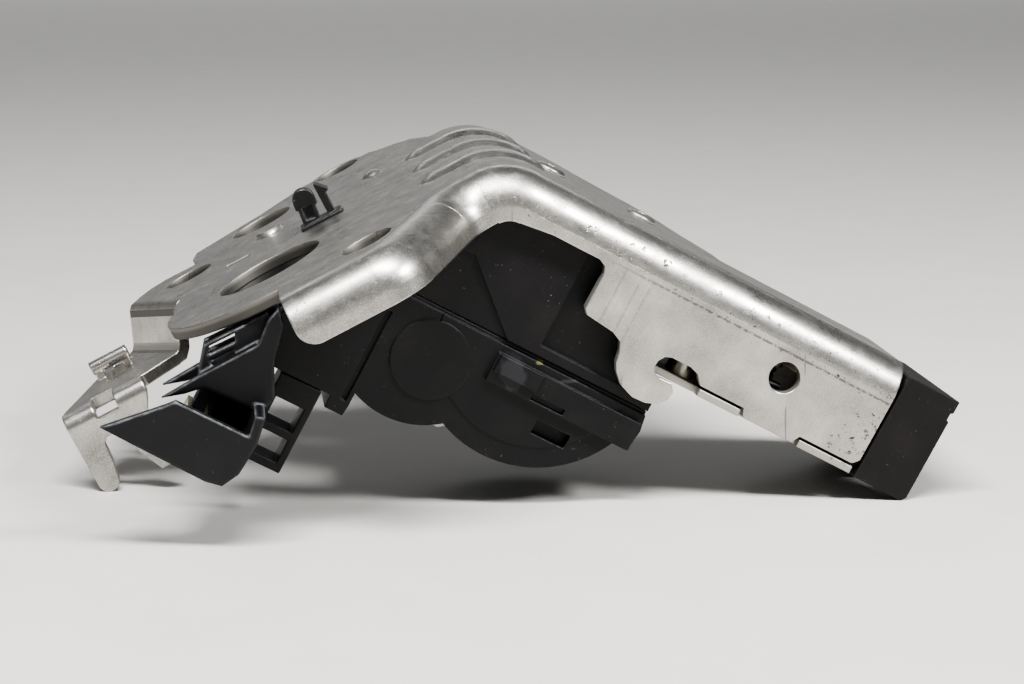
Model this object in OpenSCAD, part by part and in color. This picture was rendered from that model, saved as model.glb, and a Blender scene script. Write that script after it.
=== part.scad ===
// Boot lid lock: a bent sheet bracket that carries a catch mouth, a drive housing and a connector
// All sizes in millimetres. The part stands as it rests on a bench, on one finger and on the cap edge

/* [Bracket sheet] */
// thickness of the bracket sheet
sheet_t = 2; // [1.5:0.1:2.5]
// outer radius of the rolled edges
roll_r = 6; // [4.5:0.5:7]
// outer radius of the main bend
bend_r = 12; // [9:0.5:14]
// slope of the leg below the level line, degrees
leg_tilt = 28.2; // [20:0.2:35]
// slope of the fixing plate below the level line, degrees
plate_tilt = 26.85; // [20:0.05:32]

/* [Leg] */
// outer width of the narrow leg
leg_w = 32; // [30:0.5:38]
// length of the leg from the sharp corner of the bend to the sheet end
leg_len = 75.5; // [74:0.5:80]
// depth of the side cheek below the web top
cheek_h = 19.8; // [19:0.1:22]
// diameter of the round hole in the near cheek
cheek_hole_d = 5.3; // [4:0.1:7]
// where the round hole stands along the leg
cheek_hole_u = 57.2; // [50:0.1:62]

/* [Fixing plate] */
// how far the near rolled edge stands out from the cheek face
flange_out = 20.7; // [18:0.1:24]
// depth of the near rolled edge
flange_h = 8.2; // [7:0.1:10]
// diameter of the large access hole
access_d = 18.6; // [14:0.1:20]
// diameter of the two outer fixing holes
fixing_d = 8.8; // [6:0.1:9.5]
// distance between the two outer fixing holes
fixing_pitch = 90; // [88:0.5:92]
// diameter of the far bolt hole
bolt_d = 9; // [6:0.1:10]
// diameter of the drain hole
drain_d = 12; // [8:0.5:13]
// height of the three stiffening beads
bead_h = 1; // [0.6:0.1:1.5]
// width of one stiffening bead
bead_w = 6.5; // [5:0.5:8]

/* [Finger bracket] */
// drop from the plate to the shelf
shelf_drop = 7.5; // [6:0.1:9]
// width of the outer finger
finger_w = 3.6; // [3:0.1:5]
// depth of the second finger below the shelf
inner_finger_h = 15.4; // [12:0.1:17]

/* [End cap and base plate] */
// length of the end cap along the leg
cap_len = 9.8; // [8:0.2:12]
// thickness of the base plate
base_t = 1.2; // [1:0.1:1.5]
// width of the mouth that takes the striker
mouth_w = 10; // [9:0.5:11]

/* [Catch and pawl] */
// thickness of the catch and the pawl
catch_t = 5; // [4:0.5:6]
// outer radius of the catch
catch_r = 17; // [15:0.5:17.5]
// turn of the catch from open to latched, degrees
catch_turn = 65; // [50:1:70]
// turn of the pawl from lifted to engaged, degrees
pawl_turn = 13; // [10:0.5:15]
// diameter of the two pivots
pivot_d = 6; // [5:0.5:6.5]

/* [Drive] */
// tooth module of the drive gears
gear_m = 1; // [0.9:0.05:1.05]
// teeth on the drive wheel
wheel_z = 28; // [24:1:29]
// teeth on the motor pinion
pinion_z = 8; // [7:1:9]
// thickness of the drive wheel
wheel_t = 6; // [4:0.5:7]
// diameter of the motor can
motor_d = 24; // [20:0.5:25]
// length of the motor can
motor_len = 17; // [12:0.5:18]

/* [Housing] */
// depth of the drive housing
housing_w = 33; // [32:0.5:36]
// wall of the drive housing
housing_wall = 2; // [1.6:0.1:2.5]

/* [Clearances] */
// gap between parts that only lie side by side
gap = 0.2; // [0.15:0.05:0.3]
// play of a running fit, per side
run_fit = 0.06; // [0.03:0.01:0.1]

/* [Hidden] */
$fn = 48;
e = 0.01;
turn = leg_tilt + plate_tilt;
tangent = bend_r * tan(turn / 2);
// the flat stretches are thinner than the bends by these hairs, and reach this little way into them
thin = 0.01;
hair = 0.02;
lap = 0.05;
reach = 0.2;
flat0 = tangent - reach;
cap_gap = 0.5;
cap_u = leg_len + cap_gap;
cap_end = cap_u + cap_len;
cap_low = -cheek_h - 0.5;
cap_round = 0.7;
shelf_s = 85.8;
// height of the sharp bend corner over the bench, from the low cap corner
apex_z = (cap_end - cap_round) * sin(leg_tilt) - cap_low * cos(leg_tilt);
cap_top = -1.2;
right_x = cap_end * cos(leg_tilt) + cap_top * sin(leg_tilt);
left_x = -shelf_s * cos(plate_tilt) + shelf_drop * sin(plate_tilt);
apex_x = -(right_x + left_x) / 2;
far_lobe_y = 89.6;
apex_y = -(far_lobe_y - flange_out) / 2;
// depth of the outer finger tip under the plate so that it stands on the bench
finger_tip_r = finger_w / 2;
finger_mid_s = shelf_s - finger_w / 2;
finger_tip_w = -(apex_z - finger_mid_s * sin(plate_tilt) - finger_tip_r) / cos(plate_tilt);
inner_r = roll_r - sheet_t;
far_in = leg_w - sheet_t;
base_top = -cheek_h + 0.9;

module in_leg() { translate([apex_x, apex_y, apex_z]) rotate([0, leg_tilt, 0]) children(); }
module in_plate() { translate([apex_x, apex_y, apex_z]) rotate([0, -plate_tilt, 0]) mirror([1, 0, 0]) children(); }
// draws a u,v outline in the leg frame and runs it in depth from y0 to y1
module deep(y0, y1) { translate([0, y1, 0]) rotate([90, 0, 0]) linear_extrude(y1 - y0) children(); }
// a flat sheet with its top face at height z
module slab(z, t) { translate([0, 0, z - t]) linear_extrude(t) children(); }
module box(a, b) { translate(a) cube([b[0] - a[0], b[1] - a[1], b[2] - a[2]]); }
module pin_v(u, y, v0, v1, d) { translate([u, y, v0]) cylinder(d = d, h = v1 - v0); }
module pin_y(u, v, y0, y1, d) { translate([u, y0, v]) rotate([-90, 0, 0]) cylinder(d = d, h = y1 - y0); }

// quarter ring of a rolled edge, standing at the corner of its outer faces
module roll_ring(k) {
  translate([roll_r, -roll_r]) intersection() {
    difference() { circle(roll_r - k); circle(inner_r + k); }
    translate([-roll_r, 0]) square(roll_r);
  }
}
// rolled edge with a short straight flange below it, h deep in all
module rolled_edge(h) {
  roll_ring(0);
  translate([0, -h]) square([sheet_t, h - roll_r]);
}
// the same edge a hair thinner, for its straight stretches
module straight_edge(h) {
  roll_ring(hair);
  translate([thin, -h + thin]) square([sheet_t - 2 * thin, h - thin - roll_r + lap]);
}
module thin_slab(z, t) { slab(z - thin, t - 2 * thin) children(); }
module along(x0, x1) { translate([x0, 0, 0]) rotate([90, 0, 90]) linear_extrude(x1 - x0) children(); }
// turns a profile of radius and depth about the main bend axis
module round_bend() {
  translate([tangent, 0, -bend_r]) rotate([-90, 0, 0]) rotate([0, 0, -90 - turn]) rotate_extrude(angle = turn) children();
}

slot_top = -16.4;
notch_top = -cheek_h + 1.4;
web_end = leg_len - 30.5;
// where the near cheek comes down from the slot, its edge runs on from here
cheek_u = leg_len - 54.9;
module cheek_outline() {
  c = cheek_u;
  polygon([[flat0, lap - roll_r], [flat0, -8.35], [12, -7.6], [c, -7.6], [c + 1.2, -8.2], [c + 1.6, -9.2], [c + 1.6, -15.6],
    [c + 2.4, -16.5], [c + 7.6, -17.1], [c + 9.3, -17.9], [c + 10, -19.3], [c + 10.4, -21.2], [c + 11.2, -22.6], [c + 12.9, -24.2],
    [c + 15.5, -25.1], [c + 17.9, -25], [c + 19.8, -24.3], [c + 21, -22.9], [c + 21.2, -21.4], [c + 20.3, -20.2],
    [c + 18.1, -20.3], [c + 17, -19.9], [c + 16.4, -19], [c + 16.5, -17.9], [c + 17.2, -16.8], [c + 18.3, slot_top],
    [c + 21.8, slot_top], [c + 23.4, -16.9], [c + 24.7, notch_top], [c + 33, notch_top], [c + 33.6, -cheek_h],
    [c + 43, -cheek_h], [c + 43.8, notch_top], [leg_len - 1, notch_top], [leg_len, notch_top + 1], [leg_len, lap - roll_r]]);
}
module far_cheek_outline() {
  c = cheek_u;
  polygon([[web_end, lap - roll_r], [web_end, notch_top], [c + 33, notch_top], [c + 33.6, -cheek_h], [c + 43, -cheek_h],
    [c + 43.8, notch_top], [leg_len - 1, notch_top], [leg_len, notch_top + 1], [leg_len, lap - roll_r]]);
}
module web_plan() {
  far_flat = leg_w - roll_r;
  polygon([[flat0, roll_r - lap], [leg_len, roll_r - lap], [leg_len, far_flat + lap], [web_end, far_flat + lap], [web_end, leg_w + 0.5],
    [43, 36.5], [40.5, 41], [38.5, 48.5], [36.5, 54], [33, 57.5], [27, 59.5], [22.5, 62], [19.5, 65], [16.5, 66.4], [flat0, 66.4]]);
}
// the catch sits this far in from the open end, and all near it is measured from it
catch_u = leg_len - 18.5;
catch_y = 20;
pawl_u = catch_u - 14;
pawl_y = 7.5;
module leg_sheet() {
  difference() {
    thin_slab(0, sheet_t) web_plan();
    pin_v(catch_u, catch_y, -sheet_t - 1, 1, pivot_d - 2);
    pin_v(pawl_u, pawl_y, -sheet_t - 1, 1, pivot_d - 3);
    for (p = housing_screw_spots) pin_v(p[0], p[1], -sheet_t - 1, 1, 3.6);
  }
  along(flat0, leg_len) roll_ring(hair);
  along(web_end, leg_len) translate([leg_w, 0]) mirror([1, 0]) roll_ring(hair);
  difference() {
    deep(thin, sheet_t - thin) cheek_outline();
    pin_y(cheek_hole_u, -10.9, -1, sheet_t + 1, cheek_hole_d);
  }
  deep(far_in + thin, leg_w - thin) far_cheek_outline();
}
bead_y = [20, 36, 53];
bead_in = 11;
bead_step = 0.05;
bead_rr = (bead_w * bead_w / 4 + bead_h * bead_h) / (2 * bead_h);
module bead_bar(y, r) {
  translate([flat0 - 1, y, bead_h - bead_rr]) rotate([0, 90, 0]) cylinder(r = r, h = bead_in - flat0 + 1);
  translate([bead_in, y, bead_h - bead_rr]) sphere(r = r);
}
module bead_raised(y) {
  intersection() {
    bead_bar(y, bead_rr - bead_step);
    box([flat0, y - bead_w, -1], [bead_in + bead_w, y + bead_w, bead_h + 1]);
  }
}
module bead_hollow(y) {
  intersection() {
    bead_bar(y, bead_rr - sheet_t + 2 * bead_step);
    box([flat0 - 1, y - bead_w, -sheet_t - 1], [bead_in + bead_w, y + bead_w, bead_h]);
  }
}
module bead_tip_raised(y) {
  intersection() {
    translate([tangent, y, bead_h - bead_rr]) sphere(r = bead_rr - bead_step);
    box([flat0, y - bead_w, -1], [tangent + bead_w, y + bead_w, bead_h + 1]);
  }
}
module bead_tip_hollow(y) {
  intersection() {
    translate([tangent, y, bead_h - bead_rr]) sphere(r = bead_rr - sheet_t + 2 * bead_step);
    box([flat0 - 1, y - bead_w, -sheet_t - 1], [tangent + bead_w, y + bead_w, bead_h]);
  }
}
module bend_sheet() {
  round_bend() {
    difference() {
      union() {
        translate([bend_r - sheet_t, roll_r]) square([sheet_t, 60.5]);
        for (y = bead_y) intersection() {
          translate([bend_r + bead_h - bead_rr, y]) circle(bead_rr);
          translate([bend_r - 1, y - bead_w]) square([bead_h + 2, 2 * bead_w]);
        }
      }
      for (y = bead_y) intersection() {
        translate([bend_r + bead_h - bead_rr, y]) circle(bead_rr - sheet_t);
        translate([bend_r - sheet_t - 1, y - bead_w]) square([bead_h + 3, 2 * bead_w]);
      }
    }
    translate([bend_r - roll_r, roll_r]) intersection() {
      difference() { circle(roll_r); circle(inner_r); }
      translate([0, -roll_r]) square(roll_r);
    }
    translate([bend_r - 8.4, 0]) square([8.4 - roll_r, sheet_t]);
  }
}

// near rolled edge of the plate: it swings out from the cheek face to its own face
swing = 58;
in_c = [tangent + 0.3, -5];
in_rr = roll_r + 5;
out_c = [27.2, -flange_out + 9];
out_rr = 9 - roll_r;
edge_end = 41.8;
end_round = 3.2;
function arc(c, r, a0, a1, n) = [for (i = [0:n]) [c[0] + r * cos(a0 + (a1 - a0) * i / n), c[1] + r * sin(a0 + (a1 - a0) * i / n)]];
line_a = [in_c[0] + in_rr * sin(swing), in_c[1] + in_rr * cos(swing)];
line_b = [out_c[0] - out_rr * sin(swing), out_c[1] - out_rr * cos(swing)];
step_a = [59.4, 30];
step_b = [69, 52.6];
module plate_plan() {
  difference() {
    union() {
      polygon(concat([[flat0, roll_r - lap], [in_c[0] + 0.15, roll_r - lap]], arc(in_c, in_rr + 0.3, 87, 90 - swing, 6), arc(out_c, out_rr - 0.4, 270 - swing, 267, 4),
        [[out_c[0] - 0.1, -flange_out + roll_r - lap], [edge_end - lap, -flange_out + roll_r - lap], [edge_end - lap, 0], [60, 14], [60.6, 22], step_a, step_b,
        [67.9, 55.2], [65.6, 58.2], [62.6, 59.7], [56.8, 59.4], [57.3, 66], [56.5, 72], [49.5, 75.4], [43, 78.3], [fixing_s + 7, 86],
        [fixing_s - 7, 86], [17.9, 83.6], [13.9, 79.6], [11, 75.4], [9, 70], [7.9, 66.4], [flat0, 66.4]]));
      translate([41.3, 12.4]) intersection() { circle(20.2); translate([0.2, -21]) square([21, 31]); }
      translate([fixing_s, fixing_y + fixing_pitch]) circle(far_lobe_y - fixing_y - fixing_pitch);
    }
    translate([42.7, 15.5]) circle(d = access_d);
    translate([fixing_s, fixing_y]) circle(d = fixing_d);
    translate([fixing_s, fixing_y + fixing_pitch]) circle(d = fixing_d);
    translate([58, 50]) circle(d = bolt_d);
    translate([43, 68]) circle(d = drain_d);
    translate([46, 38]) square([4.4, 2]);
    translate([clip_s - clip_l / 2 - 0.1, clip_y - 2.7]) square([clip_l + 0.2, 5.4]);
  }
}
fixing_s = 26.2;
fixing_y = -6;
clip_s = 31.8;
clip_y = 36;
clip_l = 7.8;
module near_edge() {
  difference() {
    translate([0, -flange_out, 0]) along(out_c[0] - reach, edge_end) straight_edge(flange_h);
    deep(-flange_out - 1, -flange_out + roll_r) translate([edge_end - end_round, end_round - flange_h]) difference() {
      translate([0, -end_round - 1]) square([end_round + 1, end_round + 1]);
      circle(end_round);
    }
  }
  along(flat0, in_c[0] + reach) straight_edge(flange_h);
  // inward arc beside the bend
  translate([in_c[0], in_c[1], 0]) rotate([0, 0, 90 - swing]) rotate_extrude(angle = swing) {
    translate([in_rr - roll_r, 0]) rolled_edge(flange_h);
    translate([in_rr, -sheet_t]) square([0.8, sheet_t]);
  }
  // slanted stretch
  translate([line_a[0], line_a[1], 0]) rotate([0, 0, -swing]) translate([0, -roll_r, 0])
    along(-reach, norm(line_b - line_a) + reach) straight_edge(flange_h);
  // outward arc
  translate([out_c[0], out_c[1], 0]) rotate([0, 0, 270 - swing]) rotate_extrude(angle = swing) {
    translate([out_rr + roll_r, 0]) mirror([1, 0]) rolled_edge(flange_h);
    translate([0, -sheet_t]) square([out_rr, sheet_t]);
  }
}
step_len = norm(step_b - step_a);
step_n = [(step_b[1] - step_a[1]) / step_len, -(step_b[0] - step_a[0]) / step_len];
foot_a = step_a + 5.4 * step_n;
foot_b = step_b + 5.4 * step_n;
face_y = 22;
edge_r = 2.5;
module step_sheet() {
  d = shelf_drop;
  translate([step_a[0], step_a[1], 0]) rotate([0, 0, atan2(step_b[1] - step_a[1], step_b[0] - step_a[0])]) along(0, step_len)
    polygon([[0.6, -0.03], [-0.3, -0.03], [-0.9, -0.25], [-1.5, -0.9], [-4, -d + 0.9], [-4.6, -d + 0.2], [-5.2, -d - 0.03], [-5.9, -d - 0.03], [-5.9, -d - sheet_t + 0.03],
      [-4, -d - sheet_t + 0.2], [-2.6, -d - sheet_t + 1.6], [-0.4, -sheet_t - 1], [0.3, -sheet_t + 0.03], [0.6, -sheet_t + 0.03]]);
}
module shelf_sheet() {
  flat_y = face_y + edge_r;
  low = -shelf_drop - edge_r;
  difference() {
    union() {
      slab(-shelf_drop, sheet_t) polygon([foot_a, [70.4, flat_y], [shelf_s, flat_y], [shelf_s - 0.6, 27], [79.6, 43], [77.6, 52],
        [75.5, 54.4], foot_b]);
      translate([70.9, 0, 0]) rotate([90, 0, 90]) linear_extrude(shelf_s - 70.9) translate([flat_y, low]) intersection() {
        difference() { circle(edge_r); circle(edge_r - sheet_t); }
        translate([-edge_r, 0]) square(edge_r);
      }
      deep(face_y, face_y + sheet_t) face_outline();
    }
    box([76.4, face_y - 1, low - 0.3], [80.4, flat_y + 2.2, -shelf_drop + 1]);
    box([73.2, 37, -shelf_drop - 4], [77, 46.5, -shelf_drop + 1]);
  }
  // rounded bridge that stands over the shelf window
  for (s = [73, 78.2]) box([s, 39.7, -shelf_drop - 1], [s + 1.4, 41.1, -shelf_drop + 2.4]);
  translate([72.8, 40.4, -shelf_drop + 2.3]) rotate([0, 90, 0]) cylinder(r = 1.2, h = 7);
}
module face_outline() {
  low = -shelf_drop - edge_r + lap;
  polygon([[70.9, low], [71.6, low - 1.6], [72.7, -13.6], [72.7, -shelf_drop - inner_finger_h], [75, -shelf_drop - inner_finger_h],
    [77.1, -18.3], [77.1, -14.6], [78, -13.7], [80.6, -13.7], [81.4, -14.6], [81.6, -17.6], [shelf_s - finger_w, -20.6], [shelf_s - finger_w, finger_tip_w],
    [shelf_s, finger_tip_w], [shelf_s, low]]);
  translate([finger_mid_s, finger_tip_w]) circle(d = finger_w);
}
module mounting_bracket() {
  color([0.72, 0.72, 0.7]) {
    in_leg() {
      difference() {
        union() { leg_sheet(); for (y = bead_y) bead_tip_raised(y); }
        for (y = bead_y) bead_tip_hollow(y);
      }
      bend_sheet();
    }
    in_plate() {
      difference() {
        union() {
          thin_slab(0, sheet_t) plate_plan();
          for (y = bead_y) bead_raised(y);
          // pressed bump and dome of the plate
          translate([41.7, 51.2, -0.6]) cylinder(d1 = 6, d2 = 4.4, h = 1.4);
          translate([20.6, 56.3, -1.7]) sphere(r = 2.6);
        }
        for (y = bead_y) bead_hollow(y);
        translate([20.6, 56.3, -sheet_t - 1.6]) sphere(r = 2.4);
        translate([41.7, 51.2, -sheet_t - 0.1]) cylinder(d1 = 4, d2 = 3, h = 1.2);
      }
      near_edge();
      step_sheet();
      shelf_sheet();
    }
  }
}
housing_screw_spots = [[12, 30], [30, 30]];

// base plate that closes the leg between its cheeks
mouth_y = 10;
mouth_u = catch_u + 3;
base_u = catch_u - 11.4;
strike_v0 = -5;
strike_v1 = strike_v0 - catch_t;
module mouth_plan(w, far) {
  translate([mouth_u, mouth_y]) circle(d = w);
  translate([mouth_u, mouth_y - w / 2]) square([far - mouth_u, w]);
}
module base_plate() {
  color([0.66, 0.66, 0.64]) in_leg() difference() {
    slab(base_top, base_t) difference() {
      union() {
        translate([base_u, sheet_t + 0.05]) square([leg_len - base_u, leg_w - 2 * sheet_t - 0.1]);
        translate([tongue_u, sheet_t + 0.05]) square([base_u + 0.4 - tongue_u, leg_w - 2 * sheet_t - 0.1]);
        for (u = [[base_u, catch_u - 3.7], [catch_u + 7.7, leg_len - 0.6]]) translate([u[0], 0]) square([u[1] - u[0], leg_w]);
      }
      mouth_plan(mouth_w, leg_len + 1);
    }
    pin_v(catch_u, catch_y, base_top - 3, base_top + 1, pivot_d - 2);
    pin_v(pawl_u, pawl_y, base_top - 3, base_top + 1, pivot_d - 3);
    for (p = switch_pegs) pin_v(p[0], p[1], base_top - 3, base_top + 1, 2);
  }
}
module cap_profile() {
  polygon([[cap_u, cap_top - 0.3], [cap_u + 0.4, cap_top], [cap_end, cap_top], [cap_end, -3.4], [cap_end - 0.4, -3.6],
    [cap_end - 0.4, -4.8], [cap_end, -5], [cap_end, cap_low + 0.8], [cap_end - cap_round, cap_low], [cap_u, cap_low]]);
}
module end_cap() {
  plug_in = 5.5;
  color([0.1, 0.1, 0.1]) in_leg() difference() {
    union() {
      deep(0, leg_w) cap_profile();
      box([cap_u - plug_in, sheet_t + 0.1, base_top + gap], [cap_u + e, mouth_y - mouth_w / 2, -13]);
      box([cap_u - plug_in, mouth_y + mouth_w / 2, base_top + gap], [cap_u + e, far_in - 0.1, -13]);
      box([cap_u - 9, sheet_t + 0.1, -16], [cap_u + e, sheet_t + 1.7, -7]);
      box([cap_u - 1.4, 6.4, -2.3 - sheet_t], [cap_u + e, leg_w - 6.4, -sheet_t - gap]);
    }
    translate([0, 0, cap_low - 1]) linear_extrude(-cap_low - 2.5) {
      polygon([[cap_u - plug_in - 1, mouth_y - mouth_w / 2], [cap_end - 3.5, mouth_y - mouth_w / 2], [cap_end + 1, mouth_y - mouth_w / 2 - 2],
        [cap_end + 1, mouth_y + mouth_w / 2 + 2], [cap_end - 3.5, mouth_y + mouth_w / 2], [cap_u - plug_in - 1, mouth_y + mouth_w / 2]]);
    }
  }
}
// rubber stop at the deep end of the mouth, under the catch
module mouth_buffer() {
  color([0.08, 0.08, 0.08]) in_leg() translate([0, 0, base_top]) linear_extrude(strike_v1 - 5.4 - base_top) difference() {
    union() {
      translate([mouth_u, mouth_y]) circle(d = mouth_w + 5);
      translate([mouth_u - 6.5, mouth_y - 5]) square([3, 10]);
    }
    mouth_plan(mouth_w - 1, mouth_u + 20);
    translate([mouth_u + 3, mouth_y - 20]) square(40);
    translate([catch_u, catch_y]) circle(d = pivot_d + 1);
  }
}

coat_t = 1.2;
throat_w = mouth_w - 1;
module turned(a) { translate([catch_u, catch_y]) rotate(a) translate([-catch_u, -catch_y]) children(); }
module throat(w) {
  translate([mouth_u, mouth_y]) circle(d = w);
  translate([mouth_u - w / 2, mouth_y - 30]) square([w, 30]);
}
tooth_r = 12;
module catch_plan() {
  difference() {
    union() {
      translate([catch_u, catch_y]) circle(r = 7.5);
      intersection() {
        translate([catch_u, catch_y]) circle(r = catch_r);
        translate([catch_u, 0]) polygon([[-6, 22], [-6.5, 6], [-2, 1], [12, 1], [13.8, 8], [11, 17], [5, 26]]);
      }
      intersection() {
        translate([catch_u, catch_y]) circle(r = tooth_r);
        polygon([[catch_u, catch_y], [catch_u - 20, catch_y - 2.4], [catch_u - 20, catch_y + 9]]);
      }
    }
    throat(throat_w + 2 * coat_t);
    translate([catch_u, catch_y]) circle(d = pivot_d + 2 * run_fit);
  }
}
module catch() {
  color([0.6, 0.58, 0.52]) in_leg() slab(strike_v0, catch_t) turned(catch_turn) catch_plan();
}
module catch_coat() {
  color([0.07, 0.07, 0.07]) in_leg() slab(strike_v0 - 0.5, catch_t - 1) turned(catch_turn) intersection() {
    difference() { throat(throat_w + 2 * coat_t); throat(throat_w); }
    translate([catch_u, catch_y]) circle(r = catch_r - 0.5);
  }
}
module stepped_pivot(u, y, d, neck, collar, collar_v) {
  pin_v(u, y, base_top - base_t, -0.02, neck);
  pin_v(u, y, base_top, -sheet_t, d);
  pin_v(u, y, collar_v - 1, collar_v, collar);
}
module catch_pivot() {
  color([0.7, 0.68, 0.6]) in_leg() stepped_pivot(catch_u, catch_y, pivot_d, pivot_d - 2, 10, strike_v1 - 0.05);
}
module pawl_pivot() {
  color([0.7, 0.68, 0.6]) in_leg() stepped_pivot(pawl_u, pawl_y, pivot_d - 1, pivot_d - 3, 7.5, strike_v1 - 0.05);
}
peg_at = [pawl_u - 0.6, 16];
peg_d = 3;
module pawl_turned(a) { translate([pawl_u, pawl_y]) rotate(a) translate([-pawl_u, -pawl_y]) children(); }
module pawl_plan() {
  difference() {
    union() {
      translate([pawl_u, pawl_y]) circle(r = 4);
      translate([pawl_u, 0]) polygon([[-3.8, pawl_y + 0.5], [-3.1, 14], [-2, 17.6], [0.2, 18.3], [4, 18.3], [3.9, 16.6], [2, 14.6], [1.8, 12], [3.6, pawl_y + 1.8]]);
    }
    translate([pawl_u, pawl_y]) circle(d = pivot_d - 1 + 2 * run_fit);
  }
}
module pawl() {
  color([0.6, 0.58, 0.52]) in_leg() {
    slab(strike_v0, catch_t) pawl_turned(pawl_turn) pawl_plan();
    slab(strike_v1 + e, 3.8) pawl_turned(pawl_turn) translate(peg_at) circle(d = peg_d);
  }
}
// close coil of round wire about an upright axis with two straight ends
module coil(u, y, v, r, wire, turns, ends) {
  translate([u, y, v - wire / 2]) {
    for (i = [0:turns - 1]) translate([0, 0, -i * wire * 0.94]) rotate_extrude() translate([r, 0]) circle(d = wire, $fn = 24);
    rotate([0, 0, ends[0]]) translate([r, 0, 0]) rotate([90, 0, 0]) cylinder(d = wire * 0.96, h = ends[1], $fn = 24);
    rotate([0, 0, ends[0] + 90]) translate([r, 0, -(turns - 1) * wire * 0.94]) rotate([90, 0, 0]) cylinder(d = wire * 0.96, h = ends[1], $fn = 24);
  }
}
module catch_spring() {
  color([0.5, 0.5, 0.5]) in_leg() coil(catch_u, catch_y, strike_v1 - 1.2, 3.9, 1.2, 3, [-60, 5]);
}
module pawl_spring() {
  color([0.5, 0.5, 0.5]) in_leg() coil(pawl_u, pawl_y, strike_v1 - 4.2, 3.2, 1, 2, [100, 4]);
}

// position switch under the far side of the catch
switch_near = catch_y + 4.7;
switch_far = far_in - 0.3;
switch_y = (switch_near + switch_far) / 2;
switch_box = [[catch_u - 8.5, switch_near, base_top], [catch_u + 3.5, switch_far, strike_v1 - 2]];
switch_pegs = [[catch_u - 6.4, switch_y], [catch_u + 1.4, switch_y]];
button_at = [catch_u + 1.6, switch_y];
module microswitch() {
  color([0.12, 0.12, 0.13]) in_leg() difference() {
    union() {
      box(switch_box[0], switch_box[1]);
      for (p = switch_pegs) pin_v(p[0], p[1], base_top - base_t, base_top + 0.5, 2);
    }
    pin_v(button_at[0], button_at[1], -14.6, -11, 2 + 2 * 0.15);
  }
}
module switch_button() {
  color([0.8, 0.3, 0.2]) in_leg() pin_v(button_at[0], button_at[1], -13.2, strike_v1 - 0.3, 2);
}

// drive: motor, pinion, wheel with an off-centre pin, and the slider that turns the pawl
wheel_u = 19.4;
wheel_v = -24.7;
wheel_r = gear_m * wheel_z / 2;
pinion_r = gear_m * pinion_z / 2;
motor_line = 214;
motor_u = wheel_u + (wheel_r + pinion_r) * cos(motor_line);
motor_v = wheel_v + (wheel_r + pinion_r) * sin(motor_line);
wheel_y0 = 26;
housing_right = wheel_u + wheel_r + gear_m + 2.1;
tongue_u = housing_right + 0.5;
crank = 3;
crank_d = 3;
peg_r = norm(peg_at - [pawl_u, pawl_y]);
peg_a = atan2(peg_at[1] - pawl_y, peg_at[0] - pawl_u);
slider_travel = peg_r * (cos(peg_a) - cos(peg_a + pawl_turn));
wheel_turn = 2 * asin(slider_travel / 2 / crank);
peg_rest = [pawl_u + peg_r * cos(peg_a + pawl_turn), pawl_y + peg_r * sin(peg_a + pawl_turn)];
function gear_points(z, m) = [for (i = [0:z - 1]) for (k = [[-1.25, -1.15], [-0.42, 0.8], [0.42, 0.8], [1.25, -1.15]])
  (m * z / 2 + m * k[1]) * [cos(360 * i / z + 90 / z * k[0]), sin(360 * i / z + 90 / z * k[0])]];
module gear_at(u, v, z, phase, y0, y1) {
  translate([u, y1, v]) rotate([90, 0, 0]) linear_extrude(y1 - y0) rotate(phase) polygon(gear_points(z, gear_m));
}
module drive_wheel() {
  a = 90 + wheel_turn / 2;
  color([0.85, 0.83, 0.76]) in_leg() difference() {
    union() {
      gear_at(wheel_u, wheel_v, wheel_z, motor_line, wheel_y0, wheel_y0 + wheel_t);
      pin_y(wheel_u + crank * cos(a), wheel_v + crank * sin(a), wheel_y0 - 5.2, wheel_y0 + 1, crank_d);
    }
    pin_y(wheel_u, wheel_v, wheel_y0 + 1, wheel_y0 + wheel_t + 1, 3 + 2 * run_fit);
    difference() {
      pin_y(wheel_u, wheel_v, wheel_y0 + wheel_t - 2, wheel_y0 + wheel_t + 1, 2 * wheel_r - 6);
      pin_y(wheel_u, wheel_v, wheel_y0, wheel_y0 + wheel_t + 2, 8);
    }
  }
}
module wheel_axle() {
  color([0.7, 0.7, 0.7]) in_leg() pin_y(wheel_u, wheel_v, wheel_y0 + 1.2, housing_y0 + housing_w - 0.5, 3);
}
module motor_pinion() {
  color([0.75, 0.62, 0.3]) in_leg() {
    gear_at(motor_u, motor_v, pinion_z, motor_line + 180 + 180 / pinion_z, wheel_y0, wheel_y0 + wheel_t);
    pin_y(motor_u, motor_v, wheel_y0 - 5, wheel_y0 + e, 2);
  }
}
motor_y0 = 6;
module motor() {
  color([0.6, 0.6, 0.6]) in_leg() difference() {
    union() {
      intersection() {
        pin_y(motor_u, motor_v, motor_y0, motor_y0 + motor_len, motor_d);
        box([motor_u - 20, 0, motor_v - motor_d / 2 + 2], [motor_u + 20, 40, motor_v + motor_d / 2 - 2]);
      }
      pin_y(motor_u, motor_v, motor_y0 + motor_len - e, motor_y0 + motor_len + 1.5, 8);
    }
    pin_y(motor_u, motor_v, wheel_y0 - 6, motor_y0 + motor_len + 2, 2 + 2 * run_fit);
  }
}
slide_v = strike_v1 - 1.2;
slide_t = 2;
slide_y = [12, 24.4];
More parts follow.
